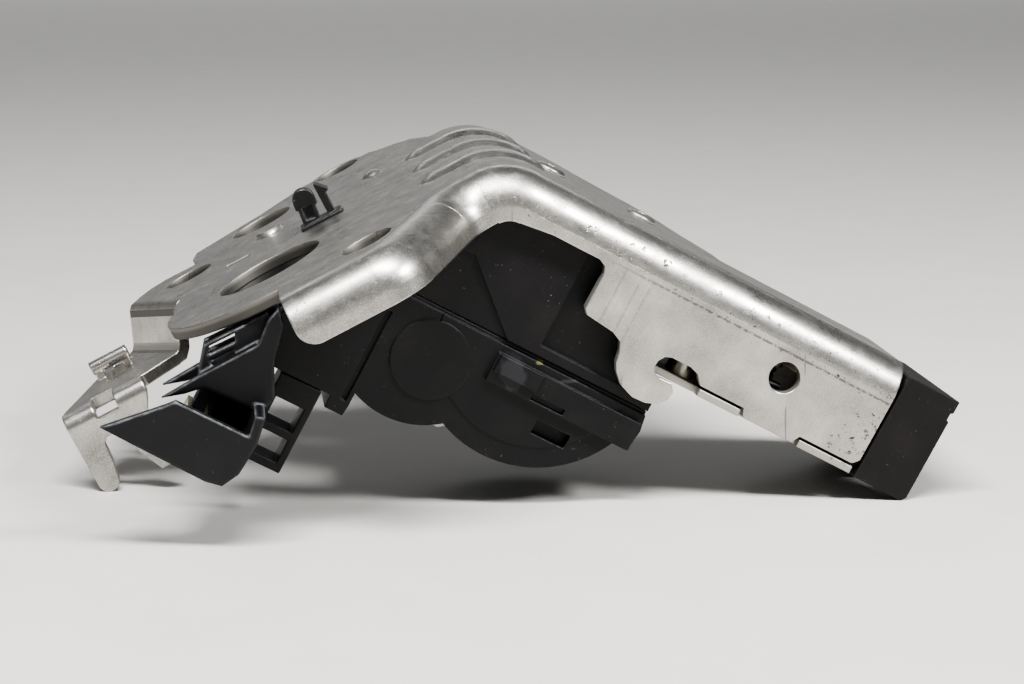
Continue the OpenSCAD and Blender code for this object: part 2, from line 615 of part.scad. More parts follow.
module release_slider() {
  tab_u = wheel_u - slider_travel / 2;
  color([0.15, 0.15, 0.16]) in_leg() difference() {
    union() {
      box([tab_u - 4.5, slide_y[0] + 0.5, slide_v - slide_t], [peg_rest[0] + 4, peg_rest[1] + 4.5, slide_v]);
      box([tab_u - 4.5, peg_rest[1] + 4, slide_v - slide_t], [tab_u + 4.5, slide_y[1], slide_v]);
      box([tab_u - 4.5, slide_y[1] - 2.4, wheel_v - 1.5], [tab_u + 4.5, slide_y[1], slide_v]);
    }
    // slot round the pawl peg and slot round the off-centre pin
    box([peg_rest[0] - peg_d / 2 - 0.15, peg_rest[1] - 2.6, slide_v - 5], [peg_rest[0] + peg_d / 2 + 0.15, peg_rest[1] + 2.4, slide_v + 1]);
    box([tab_u - crank_d / 2 - 0.15, slide_y[1] - 4, wheel_v - 2], [tab_u + crank_d / 2 + 0.15, slide_y[1] + 1, wheel_v + crank + crank_d / 2 + 0.8]);
  }
}

// drive housing in two shells that meet on a level line along the leg
housing_y0 = 3;
part_v = -26.4;
boss_r = 20.4;
motor_boss_r = 15;
seam = 0.2;
module housing_outline() {
  polygon([[4, -6.6], [housing_right, -6.6], [housing_right, -22], [40.4, -24.6], [40.4, -27], [40.9, -30], [40.5, -33.1], [38.2, -33.3], [30, -34], [10, -40], [-4, -44],
    [-4, -47.6], [-4.2, -49.5], [-7.4, -49.5], [-7.4, -47.3], [-17.6, -47.3], [-20.6, -42], [-20.6, -37.6], [-13, -27], [-7.4, -19],
    [-2.4, -11.8]]);
  intersection() {
    translate([wheel_u, wheel_v]) circle(r = boss_r, $fn = 96);
    translate([-10, -60]) square([50.4, 35.4]);
  }
  translate([1.9, -31.5]) circle(r = motor_boss_r, $fn = 96);
}
module housing_mass() {
  difference() {
    union() {
      deep(housing_y0, housing_y0 + housing_w) intersection() {
        housing_outline();
        translate([-30, -60]) square([80, 53.4]);
      }
      deep(housing_y0 + 3.6, housing_y0 + housing_w) polygon([[6.6, -2.4], [housing_right, -2.4], [housing_right, -8], [-2, -14], [-8.6, -18.2], [-4.6, -12.2], [-2, -7.4], [1.5, -3.9]]);
    }
    // drive room, motor room and the slider's way out
    pin_y(wheel_u, wheel_v, wheel_y0 - 0.4, wheel_y0 + wheel_t + 0.4, 2 * wheel_r + 2 * gear_m + 1);
    pin_y(motor_u, motor_v, wheel_y0 - 1.5, wheel_y0 + wheel_t + 0.4, 2 * pinion_r + 2 * gear_m + 1.4);
    pin_y(motor_u, motor_v, motor_y0, motor_y0 + motor_len + e, motor_d + 2 * run_fit);
    pin_y(motor_u, motor_v, motor_y0, wheel_y0, 8.4);
    box([wheel_u - slider_travel - 6, slide_y[0] + 0.2, wheel_v - 2], [wheel_u + slider_travel + 6, wheel_y0, slide_v + 0.4]);
    box([wheel_u - slider_travel - 6, slide_y[0] + 0.2, slide_v - slide_t - 0.4], [50, slide_y[0] + 9.5, slide_v + 0.4]);
    pin_y(wheel_u, wheel_v, wheel_y0, housing_y0 + housing_w - 0.5, 3);
    box([pawl_u - 6.4, -1, base_top - base_t - gap], [pawl_u + 20, 22, 0]);
  }
}
module part_side(up) {
  intersection() {
    children();
    translate([-60, -5, up > 0 ? part_v : part_v - 60 - seam]) cube([140, 60, 60]);
  }
}
module gear_housing() {
  color([0.1, 0.1, 0.11]) in_leg() difference() {
    part_side(1) housing_mass();
    // stepped faces of the near wall
    box([19.3, housing_y0 - 1, -24.7], [50, housing_y0 + 1.2, 0]);
    deep(housing_y0 - 1, housing_y0 + 0.7) polygon([[2.7, -16.4], [14.8, -27], [-30, -27], [-30, -16.4]]);
    for (p = housing_screw_spots) pin_v(p[0], p[1], -9, 0, 2.4);
  }
}
module housing_cover() {
  color([0.11, 0.11, 0.12]) in_leg() difference() {
    union() {
      part_side(-1) housing_mass();
      part_side(-1) pin_y(motor_u - 0.2, motor_v - 0.1, housing_y0 - 0.5, housing_y0 + 1, 13.2);
      part_side(-1) pin_y(wheel_u, wheel_v, housing_y0 - 0.3, housing_y0 + 1, 2 * boss_r - 7);
      box([13.6, housing_y0 - 1.4, -33.6], [40.2, housing_y0 + 1, -28.6]);
      box([14, housing_y0 - 2.2, -31.6], [21.8, housing_y0 - 1.3, -28.6]);
    }
    box([21.6, housing_y0 - 3, -33.2], [27.7, housing_y0 - 0.6, -32.2]);
    box([24.6, housing_y0 - 2, -38.2], [30.8, housing_y0 + 2, -35.8]);
    box([-5.8, housing_y0 - 1, -47.1], [-4.8, housing_y0 + 0.8, -30.7]);
    box([-25, housing_y0 - 1, part_v - seam - 0.6], [42, housing_y0 + 0.8, part_v]);
  }
}
module housing_screws() {
  color([0.68, 0.68, 0.66]) in_leg() for (p = housing_screw_spots) {
    pin_v(p[0], p[1], -9, 0.05, 2.4);
    pin_v(p[0], p[1], 0, 1.3, 5.6);
  }
}

// plug socket below the plate: a trough with a near wall, a floor and a hood behind the mouth
sock_y0 = -18;
sock_y1 = 2;
sock_wall = 1.5;
hood_y = -9;
module socket_near_plan() {
  polygon([[-39.2, -63.8], [-31.7, -56.1], [-30.9, -55.1], [-18.3, -55.1], [-19.1, -51.8], [-17.6, -51.3], [-16.8, -55.6],
    [-17.2, -61], [-18.7, -63.8], [-21.3, -64.3]]);
}
module socket_floor_plan() {
  polygon([[-39.2, -63.8], [-21.3, -64.3], [-18.7, -63.8], [-17.2, -61], [-16.8, -55.6], [-17.6, -51.3], [-19.1, -51.8],
    [-18.4, -55.8], [-18.8, -60.8], [-20.4, -62.6], [-36.4, -62.2]]);
}
module socket_hood_plan() {
  polygon([[-32.3, -57.4], [-29.1, -52.3], [-22.8, -43.2], [-23.2, -39.2], [-22.6, -36.7], [-20.6, -38.9], [-19.5, -44.1],
    [-16.6, -49.8], [-17.4, -52.6], [-21.2, -52.8], [-27.2, -53], [-29.4, -55.2]]);
}
module socket_rib_plan() {
  difference() {
    polygon([[-28.6, -52.4], [-30, -47.5], [-26.2, -42.3], [-23.6, -38.5], [-22.6, -39.4], [-22, -43.6]]);
    polygon([[-29.2, -47.3], [-26.6, -43.7], [-25.9, -44.9], [-28.7, -48.6]]);
    polygon([[-28, -49.4], [-25.4, -45.9], [-24.8, -47], [-27, -50]]);
  }
}
module connector_socket() {
  color([0.09, 0.09, 0.1]) in_leg() {
    deep(sock_y0, sock_y0 + sock_wall) socket_near_plan();
    difference() {
      deep(sock_y0, sock_y1) socket_floor_plan();
      // the floor draws in towards the hood's tip
      translate([0, 0, -70]) linear_extrude(20) polygon([[-45, sock_y0 + sock_wall], [-39, sock_y0 + sock_wall], [-29.5, hood_y], [-27, sock_y1 + 1], [-45, sock_y1 + 1]]);
    }
    deep(sock_y1 - sock_wall, sock_y1) { socket_hood_plan(); polygon([[-27, -63.9], [-21.3, -64.3], [-18.7, -63.8], [-17.2, -61], [-17, -50], [-27, -50]]); }
    deep(hood_y, hood_y + 1.3) socket_hood_plan();
    // roof and side that join the hood to the back wall
    deep(hood_y, sock_y1) polygon([[-28.6, -51.9], [-27.4, -52.7], [-21.6, -44.4], [-22.8, -43.2]]);
    deep(hood_y, sock_y1) polygon([[-20.6, -38.9], [-19.5, -44.1], [-16.6, -49.8], [-17.4, -52.6], [-18.4, -52.4], [-17.7, -49.8], [-20.6, -44.4], [-21.6, -39.8]]);
    deep(sock_y1 - e, housing_y0) polygon([[-22, -40.4], [-19.9, -40.4], [-17.9, -46.8], [-19.4, -46.8]]);
    for (y = [hood_y + 3, -2]) deep(y, y + 1.4) socket_rib_plan();
  }
}
module contact_pins() {
  color([0.8, 0.72, 0.5]) in_leg() for (k = [0:2])
    translate([-28 + 3.4 * k, hood_y + 1.5, -58.6]) cube([0.8, sock_y1 - sock_wall - hood_y - 1.5, 1.6]);
}
// open frame that hangs below the housing beside the socket
module carrier_frame() {
  color([0.09, 0.09, 0.1]) in_leg() difference() {
    box([-16.2, housing_y0, -62.7], [-8.9, housing_y0 + 7, -47.5]);
    box([-15.1, 0, -55.7], [-10.1, 40, -51.4]);
    box([-15.1, 0, -61.2], [-10.1, 40, -57.1]);
  }
}
// two-pronged clip pressed into the plate from below
module harness_clip() {
  y0 = clip_y - 1.4;
  y1 = clip_y + 1.4;
  color([0.1, 0.1, 0.1]) in_plate() {
    box([clip_s - clip_l / 2 - 0.8, clip_y - 3.4, -sheet_t - 1.4], [clip_s + clip_l / 2 + 0.8, clip_y + 3.4, thin - sheet_t]);
    box([clip_s - clip_l / 2, clip_y - 2.6, thin - sheet_t - e], [clip_s + clip_l / 2, clip_y + 2.6, 0.5]);
    // fat arrow-headed prong with a hollow in its neck
    translate([clip_s + 1.7, 0, 0]) rotate([0, -6, 0]) difference() {
      deep(y0, y1) polygon(concat([[-1.6, 0], [1.6, 0], [1.6, 3.2], [2, 3.4]], arc([0, 4.6], 2, 0, 180, 8), [[-2, 3.4], [-1.6, 3.2]]));
      box([-0.9, y0 - 1, 1.2], [0.9, y0 + 1, 3.4]);
    }
    // thin barbed prong
    deep(y0, y1) translate([clip_s - 2.1, 0]) polygon([[-0.7, 0.2], [0.7, 0.2], [0.7, 6.1], [0.3, 6.4], [-1.3, 4.7], [-1.3, 4.3], [-0.7, 4.1]]);
  }
}

mounting_bracket();
base_plate();
end_cap();
mouth_buffer();
catch();
catch_coat();
catch_pivot();
catch_spring();
pawl();
pawl_pivot();
pawl_spring();
microswitch();
switch_button();
release_slider();
drive_wheel();
wheel_axle();
motor();
motor_pinion();
gear_housing();
housing_cover();
housing_screws();
connector_socket();
contact_pins();
carrier_frame();
harness_clip();
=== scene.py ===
# boot lid lock resting on one finger and on its cap, as in the photo
import math
import bmesh
import bpy
from mathutils import Matrix, Vector


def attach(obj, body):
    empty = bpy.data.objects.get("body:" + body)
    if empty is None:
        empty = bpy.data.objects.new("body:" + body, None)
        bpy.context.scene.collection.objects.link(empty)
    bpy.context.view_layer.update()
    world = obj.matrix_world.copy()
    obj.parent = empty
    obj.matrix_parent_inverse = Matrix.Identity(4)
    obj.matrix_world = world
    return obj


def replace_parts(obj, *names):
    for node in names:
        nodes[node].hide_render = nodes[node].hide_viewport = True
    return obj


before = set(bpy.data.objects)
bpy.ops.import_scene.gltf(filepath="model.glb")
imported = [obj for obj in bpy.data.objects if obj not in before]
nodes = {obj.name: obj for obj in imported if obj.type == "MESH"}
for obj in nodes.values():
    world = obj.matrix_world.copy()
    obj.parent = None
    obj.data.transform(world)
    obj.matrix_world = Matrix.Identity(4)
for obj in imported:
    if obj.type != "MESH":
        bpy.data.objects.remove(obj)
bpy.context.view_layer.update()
print("scene: loaded", len(nodes), "CAD nodes")

# corner where the two flats of the bracket would meet without the bend, and the way each one slopes
apex = Vector((-0.000943, -0.03445, 0.058105))
legTilt = math.radians(28.2)
plateTilt = math.radians(26.85)
legAlong = Vector((math.cos(legTilt), 0, -math.sin(legTilt)))
legUp = Vector((math.sin(legTilt), 0, math.cos(legTilt)))
plateAlong = Vector((-math.cos(plateTilt), 0, -math.sin(plateTilt)))
plateUp = Vector((-math.sin(plateTilt), 0, math.cos(plateTilt)))
deep = Vector((0, 1, 0))


# a place from millimetres along one of the flats, deep into the picture and above it
def legPoint(u, y, v):
    return apex + (legAlong * u + legUp * v + deep * y) / 1000


def platePoint(s, y, w):
    return apex + (plateAlong * s + plateUp * w + deep * y) / 1000


def srgb(hexText):
    out = []
    for i in (1, 3, 5):
        c = int(hexText[i:i + 2], 16) / 255
        out.append(c / 12.92 if c <= 0.04045 else ((c + 0.055) / 1.055) ** 2.4)
    return (*out, 1.0)


# adds one node and gives one of its outputs; an input is a number, a colour or the socket it is fed from
def add(tree, kind, inputs, out=0, **settings):
    node = tree.nodes.new("ShaderNode" + kind)
    for key, value in settings.items():
        setattr(node, key, value)
    for key, value in inputs.items():
        if isinstance(value, bpy.types.NodeSocket):
            tree.links.new(value, node.inputs[key])
        else:
            node.inputs[key].default_value = value
    return node.outputs[out]


def newMaterial(name):
    material = bpy.data.materials.new(name)
    material.use_nodes = True
    tree = material.node_tree
    return material, tree, tree.nodes["Principled BSDF"]


# gives a node its material and rounds its sharp edges by that many millimetres
def paint(name, material, rounding=0.0):
    node = nodes[name]
    node.data.materials.clear()
    node.data.materials.append(material)
    if rounding:
        weld = node.modifiers.new("weld", "WELD")
        weld.merge_threshold = 0.000002
        bevel = node.modifiers.new("edgeRounding", "BEVEL")
        bevel.width = rounding / 1000
        bevel.limit_method = "ANGLE"
        bevel.angle_limit = math.radians(38)
        bevel.segments = 2
        bevel.harden_normals = True


# zinc plated pressed sheet: satin flats with rolling streaks, dull torn cut edges, dark marks along the bends
# scales are per metre, so 2600 gives streaks 0.4 mm wide; heights are metres above a flat's outer face
# zinc grain is some 0.05 mm, and its sparkle is drawn four times coarser so that it shows
sheetLook = {
    "flat": "#bcb9b4", "cloud": "#93908a", "streak": "#77736c", "glint": "#dedbd4", "hair": "#efedea",
    "cut": "#55534f", "rim": "#a19e98", "dirt": "#241f1b",
    "roughness": 0.25, "sparkleRoughness": 0.14, "markRoughness": 0.55,
    "blotchShine": -0.015, "blotchDull": 0.045,
    "streaks": 2600, "sparkle": 5200, "clouds": 110, "blotches": 420, "torn": 3000,
    "ragged": 800, "dashes": 1300, "scratches": 900, "hairs": 1500,
    "glintFrom": 0.53, "glintTo": 0.68, "glintShare": 0.7,
    "bump": 0.000012, "edge": 0.00045, "thickness": -0.00203, "roll": -0.0062,
    "burnishedFrom": -0.0009, "burnishedTo": -0.0004,
    # the dashed line under the roll: height, waver, half width from and to, where along the leg it grows
    "dashLine": -0.0069, "dashWaver": 0.0005, "dashWidth": (0.00026, 0.00012), "dashGrows": (0.02, 0.034),
    # where the ragged spots crowd: under the roll, and at the low end along and down
    "spotsUnder": (-0.0092, -0.0064), "spotsAlong": (0.062, 0.074), "spotsDown": (-0.0056, -0.009),
    # lines of the die: their places along the leg, half width, the heights between which they start
    "pressLines": (0.0253, 0.0282, 0.0301), "pressWidth": (0.0003, 0.00008), "pressFrom": (-0.0066, -0.0078),
}


def zincPlatedSheet(name, look):
    material, tree, shader = newMaterial(name)
    pos = add(tree, "VectorMath", {0: add(tree, "TexCoord", {}, "Object"), 1: apex}, operation="SUBTRACT")
    normal = add(tree, "TexCoord", {}, "Normal")
    places = []
    for way in (legAlong, legUp, plateAlong, plateUp, deep):
        places.append(add(tree, "VectorMath", {0: pos, 1: way}, "Value", operation="DOT_PRODUCT"))
    u, v, s, w, y = places
    facing = []
    for way in (deep, legUp, plateUp):
        dot = add(tree, "VectorMath", {0: normal, 1: way}, "Value", operation="DOT_PRODUCT")
        facing.append(add(tree, "Math", {0: dot}, operation="ABSOLUTE"))
    ny, nv, nw = facing
    # 1 on the fixing plate, 0 on the leg
    past = add(tree, "Math", {0: s, 1: u}, operation="SUBTRACT")
    onPlate = add(tree, "MapRange", {0: past, 1: -0.0005, 2: 0.0005})
    onLeg = add(tree, "Math", {0: 1.0, 1: onPlate}, operation="SUBTRACT")
    # local place and facing on whichever flat this is
    along = add(tree, "Mix", {0: onPlate, 2: u, 3: s})
    height = add(tree, "Mix", {0: onPlate, 2: v, 3: w})
    faceUp = add(tree, "Mix", {0: onPlate, 2: nv, 3: nw})

    # cut edges face sideways inside the sheet's thickness, or are the rims of what is folded down
    inSheet = add(tree, "Math", {0: height, 1: look["thickness"]}, operation="GREATER_THAN")
    sideways = add(tree, "Math", {0: faceUp, 1: 0.5}, operation="LESS_THAN")
    sheetEdge = add(tree, "Math", {0: inSheet, 1: sideways}, operation="MULTIPLY")
    below = add(tree, "Math", {0: height, 1: look["roll"]}, operation="LESS_THAN")
    turnedAway = add(tree, "Math", {0: ny, 1: 0.45}, operation="LESS_THAN")
    rim = add(tree, "Math", {0: below, 1: turnedAway}, operation="MULTIPLY")
    shelfTop = add(tree, "Math", {0: faceUp, 1: 0.93}, operation="GREATER_THAN")
    shelfTop = add(tree, "Math", {0: shelfTop, 1: onPlate}, operation="MULTIPLY")
    rim = add(tree, "Math", {0: rim, 1: shelfTop}, operation="SUBTRACT", use_clamp=True)
    cut = add(tree, "Math", {0: sheetEdge, 1: rim}, operation="MAXIMUM")
    # a sheared edge is burnished near its upper rim and broken below it
    burnished = {0: height, 1: look["burnishedFrom"], 2: look["burnishedTo"], 3: 0.05, 4: 0.45}
    burnished = add(tree, "Math", {0: add(tree, "MapRange", burnished), 1: rim}, operation="MAXIMUM")
    cutColour = {0: burnished, 6: srgb(look["cut"]), 7: srgb(look["rim"])}
    cutColour = add(tree, "Mix", cutColour, 2, data_type="RGBA")

    # streaks run along the sheet on its top and rolls, and down the cheek where it was drawn
    ways = []
    for longWays, acrossWays in ((0.03, 1.0), (1.0, 0.04)):
        first = add(tree, "Math", {0: along, 1: longWays}, operation="MULTIPLY")
        second = add(tree, "Math", {0: height, 1: acrossWays}, operation="MULTIPLY")
        drawn = add(tree, "CombineXYZ", {0: first, 1: y, 2: second})
        drawn = {"Vector": drawn, "Scale": look["streaks"], "Detail": 5.0, "Roughness": 0.65}
        ways.append(add(tree, "TexNoise", drawn))
    cheek = add(tree, "MapRange", {0: ny, 1: 0.9, 2: 0.99})
    streaks = add(tree, "Mix", {0: cheek, 2: ways[0], 3: ways[1]})
    streakShare = add(tree, "MapRange", {0: streaks, 1: 0.42, 2: 0.72, 3: 0.0, 4: 0.4})
    calm = add(tree, "MapRange", {0: cheek, 3: 1.0, 4: 0.35})
    streakShare = add(tree, "Math", {0: streakShare, 1: calm}, operation="MULTIPLY")
    clouds = add(tree, "TexNoise", {"Vector": pos, "Scale": look["clouds"], "Detail": 5.0, "Roughness": 0.6})
    cloudShare = add(tree, "MapRange", {0: clouds, 1: 0.35, 2: 0.7})
    sparkle = {"Vector": pos, "Scale": look["sparkle"], "Detail": 2.0, "Roughness": 0.7}
    sparkle = add(tree, "TexNoise", sparkle)
    glint = {0: sparkle, 1: look["glintFrom"], 2: look["glintTo"], 3: 0.0, 4: look["glintShare"]}
    glint = add(tree, "MapRange", glint)
    colour = {0: cloudShare, 6: srgb(look["flat"]), 7: srgb(look["cloud"])}
    colour = add(tree, "Mix", colour, 2, data_type="RGBA")
    colour = add(tree, "Mix", {0: streakShare, 6: colour, 7: srgb(look["streak"])}, 2, data_type="RGBA")
    colour = add(tree, "Mix", {0: glint, 6: colour, 7: srgb(look["glint"])}, 2, data_type="RGBA")
    colour = add(tree, "Mix", {0: cut, 6: colour, 7: cutColour}, 2, data_type="RGBA")

    # dark marks: dashes where the cheek leaves its roll
    dashes = add(tree, "TexNoise", {"Vector": pos, "Scale": look["dashes"], "Detail": 3.0, "Roughness": 0.6})
    offLine = add(tree, "Math", {0: v, 1: look["dashLine"]}, operation="SUBTRACT")
    offLine = {0: dashes, 1: look["dashWaver"], 2: offLine}
    offLine = add(tree, "Math", offLine, operation="MULTIPLY_ADD")
    offLine = add(tree, "Math", {0: offLine, 1: look["dashWaver"] / 2}, operation="SUBTRACT")
    offLine = add(tree, "Math", {0: offLine}, operation="ABSOLUTE")
    wide, thin = look["dashWidth"]
    line = add(tree, "MapRange", {0: offLine, 1: wide, 2: thin})
    onCheek = add(tree, "MapRange", {0: ny, 1: 0.7, 2: 0.9})
    broken = add(tree, "MapRange", {0: dashes, 1: 0.4, 2: 0.5})
    growsFrom, growsTo = look["dashGrows"]
    stronger = add(tree, "MapRange", {0: u, 1: growsFrom, 2: growsTo, 3: 0.0, 4: 0.62})
    for share in (broken, onCheek, stronger):
        line = add(tree, "Math", {0: line, 1: share}, operation="MULTIPLY")
    # and ragged spots that crowd under the roll and at the low end
    ragged = add(tree, "TexNoise", {"Vector": pos, "Scale": look["ragged"], "Detail": 7.0, "Roughness": 0.75})
    underFrom, underTo = look["spotsUnder"]
    band = add(tree, "MapRange", {0: v, 1: underFrom, 2: underTo, 3: 0.0, 4: 0.7})
    band = add(tree, "Math", {0: band, 1: onCheek}, operation="MULTIPLY")
    endFrom, endTo = look["spotsAlong"]
    atEnd = add(tree, "MapRange", {0: u, 1: endFrom, 2: endTo})
    downFrom, downTo = look["spotsDown"]
    lowDown = add(tree, "MapRange", {0: v, 1: downFrom, 2: downTo})
    lowEnd = add(tree, "Math", {0: atEnd, 1: lowDown}, operation="MULTIPLY")
    crowd = add(tree, "Math", {0: band, 1: lowEnd}, operation="MAXIMUM")
    crowd = add(tree, "Math", {0: crowd, 1: onLeg}, operation="MULTIPLY")
    ragged = add(tree, "Math", {0: crowd, 1: 0.112, 2: ragged}, operation="MULTIPLY_ADD")
    dirt = add(tree, "MapRange", {0: ragged, 1: 0.665, 2: 0.69, 3: 0.0, 4: 0.85})
    dirt = add(tree, "Math", {0: dirt, 1: line}, operation="MAXIMUM")

    # fine scratches: thin slanted ridges of a stretched noise
    slanted = add(tree, "Mapping", {"Vector": pos, "Rotation": (0.3, 0.9, 0.2), "Scale": (1.0, 1.0, 0.06)})
    slanted = {"Vector": slanted, "Scale": look["scratches"], "Detail": 2.0, "Roughness": 0.5}
    slanted = add(tree, "TexNoise", slanted)
    scratch = add(tree, "MapRange", {0: slanted, 1: 0.715, 2: 0.735, 3: 0.0, 4: 0.5})
    # faint lines where the cheek slid over the die
    pressFrom, pressTo = look["pressFrom"]
    slid = add(tree, "MapRange", {0: v, 1: pressFrom, 2: pressTo})
    slid = add(tree, "Math", {0: cheek, 1: slid}, operation="MULTIPLY")
    uneven = add(tree, "MapRange", {0: dashes, 1: 0.36, 2: 0.5})
    slid = add(tree, "Math", {0: slid, 1: uneven}, operation="MULTIPLY")
    wide, thin = look["pressWidth"]
    for spot in look["pressLines"]:
        off = add(tree, "Math", {0: u, 1: spot}, operation="SUBTRACT")
        off = add(tree, "Math", {0: off}, operation="ABSOLUTE")
        pressed = add(tree, "MapRange", {0: off, 1: wide, 2: thin, 3: 0.0, 4: 0.24})
        pressed = add(tree, "Math", {0: pressed, 1: slid}, operation="MULTIPLY")
        scratch = add(tree, "Math", {0: scratch, 1: pressed}, operation="MAXIMUM")
    marks = add(tree, "Math", {0: dirt, 1: scratch}, operation="MAXIMUM")
    # bright rubbed hairs on the flats that face up
    rubbed = add(tree, "Mapping", {"Vector": pos, "Rotation": (0.2, 0.5, 0.9), "Scale": (0.09, 1.0, 1.0)})
    rubbed = {"Vector": rubbed, "Scale": look["hairs"], "Detail": 3.0, "Roughness": 0.6}
    rubbed = add(tree, "TexNoise", rubbed)
    hair = add(tree, "MapRange", {0: rubbed, 1: 0.6, 2: 0.67, 3: 0.0, 4: 0.5})
    level = add(tree, "MapRange", {0: faceUp, 1: 0.7, 2: 0.95})
    hair = add(tree, "Math", {0: hair, 1: level}, operation="MULTIPLY")
    colour = add(tree, "Mix", {0: hair, 6: colour, 7: srgb(look["hair"])}, 2, data_type="RGBA")
    colour = add(tree, "Mix", {0: marks, 6: colour, 7: srgb(look["dirt"])}, 2, data_type="RGBA")
    tree.links.new(colour, shader.inputs["Base Color"])
    shader.inputs["Metallic"].default_value = 1.0

    rough = {0: clouds, 1: 0.3, 2: 0.7, 3: look["roughness"] - 0.05, 4: look["roughness"] + 0.09}
    rough = add(tree, "MapRange", rough)
    rough = {0: sparkle, 1: look["sparkleRoughness"], 2: rough}
    rough = add(tree, "Math", rough, operation="MULTIPLY_ADD")
    # passivation left the zinc blotchy: dull islands of one to three millimetres
    blotches = {"Vector": pos, "Scale": look["blotches"], "Detail": 4.0, "Roughness": 0.6}
    blotches = add(tree, "TexNoise", blotches)
    blotches = {0: blotches, 1: 0.48, 2: 0.66, 3: look["blotchShine"], 4: look["blotchDull"]}
    blotches = add(tree, "MapRange", blotches)
    rough = add(tree, "Math", {0: rough, 1: blotches}, operation="ADD")
    dull = add(tree, "Math", {0: cut, 1: marks}, operation="MAXIMUM")
    rough = add(tree, "Mix", {0: dull, 2: rough, 3: look["markRoughness"]})
    tree.links.new(rough, shader.inputs["Roughness"])

    # shear marks run through the cut edge
    through = add(tree, "CombineXYZ", {0: along, 1: y, 2: 0.0})
    torn = add(tree, "TexNoise", {"Vector": through, "Scale": look["torn"], "Detail": 2.0, "Roughness": 0.7})
    torn = add(tree, "Math", {0: torn, 1: 5.0}, operation="MULTIPLY")
    relief = add(tree, "Math", {0: sparkle, 1: 0.8, 2: streaks}, operation="MULTIPLY_ADD")
    relief = add(tree, "Mix", {0: cut, 2: relief, 3: torn})
    relief = add(tree, "Math", {0: marks, 1: -1.5, 2: relief}, operation="MULTIPLY_ADD")
    # the real sheet's corners are rounded by less than half a millimetre
    rounded = add(tree, "Bevel", {"Radius": look["edge"]}, samples=8)
    relief = {"Strength": 0.5, "Distance": look["bump"], "Height": relief, "Normal": rounded}
    tree.links.new(add(tree, "Bump", relief), shader.inputs["Normal"])
    return material


plateLook = {**sheetLook, "flat": "#c3bfb7", "cut": "#a8a59e", "roughness": 0.28, "thickness": -1.0}
paint("mounting_bracket", zincPlatedSheet("zincPlatedPressedSheet", sheetLook))
paint("base_plate", zincPlatedSheet("zincPlatedStampedPlate", plateLook))
print("scene: bracket and base plate done")

# injection moulded black nylon: soft sheen, spark eroded grain, dust in specks, edges rubbed grey and painted
# lighter where they face up, a painted highlight from the light above
# the grain of such a mould is under 0.1 mm, drawn at 0.3 mm so that it shows
nylonLook = {
    "colour": "#0a090a", "wornAndHighlightColour": "#4b4b4e", "dust": "#5f5b55",
    "roughness": 0.47, "gloss": 0.22, "edgeWearAndHighlight": 0.35, "edge": 0.00035,
    "grain": 3200, "depth": 0.000014, "clouds": 140, "flecks": 2300, "patches": 700, "dustPlaces": 230,
    "dustFrom": 0.715, "film": 0.035,
    # single rubbed or stained places: x, z, half width and half height in metres, colour, share
    "stains": (),
}


